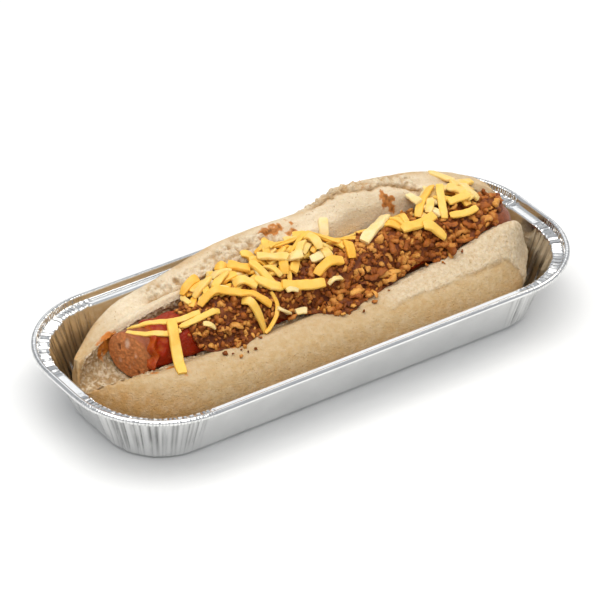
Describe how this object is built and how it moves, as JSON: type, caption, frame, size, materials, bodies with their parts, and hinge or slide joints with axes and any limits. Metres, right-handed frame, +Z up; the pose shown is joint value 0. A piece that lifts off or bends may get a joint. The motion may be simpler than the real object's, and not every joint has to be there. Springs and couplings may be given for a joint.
{
  "type": "foil tray meal",
  "caption": "Split bread roll with sausage, red sauce, fried onion and cheese shreds, served in an oblong aluminium foil tray with pleated round corners and a rolled rim.",
  "frame": {"origin": "middle of the tray's underside", "axes": "+X along the tray, +Y across it towards the high half of the roll, +Z up"},
  "size_m": [0.266, 0.115, 0.0646],
  "materials": {
    "foil": "bright pressed foil",
    "crust": "matt crust",
    "sausage_meat": "slightly moist",
    "red_sauce": "wet gloss",
    "fried_onion": "dry and crisp",
    "cheese": "soft sheen",
    "cheese_low": "soft sheen",
    "cheese_high": "soft sheen",
    "cheese_crest": "soft sheen"
  },
  "bodies": {
    "root": {"foil_tray": "foil", "bread_roll": "crust", "sausage": "sausage_meat", "sauce": "red_sauce", "fried_onions": "fried_onion", "shredded_cheese": "cheese", "cheese_shred_low": "cheese_low", "cheese_shred_high": "cheese_high", "cheese_shred_crest": "cheese_crest"}
  },
  "joints": []
}
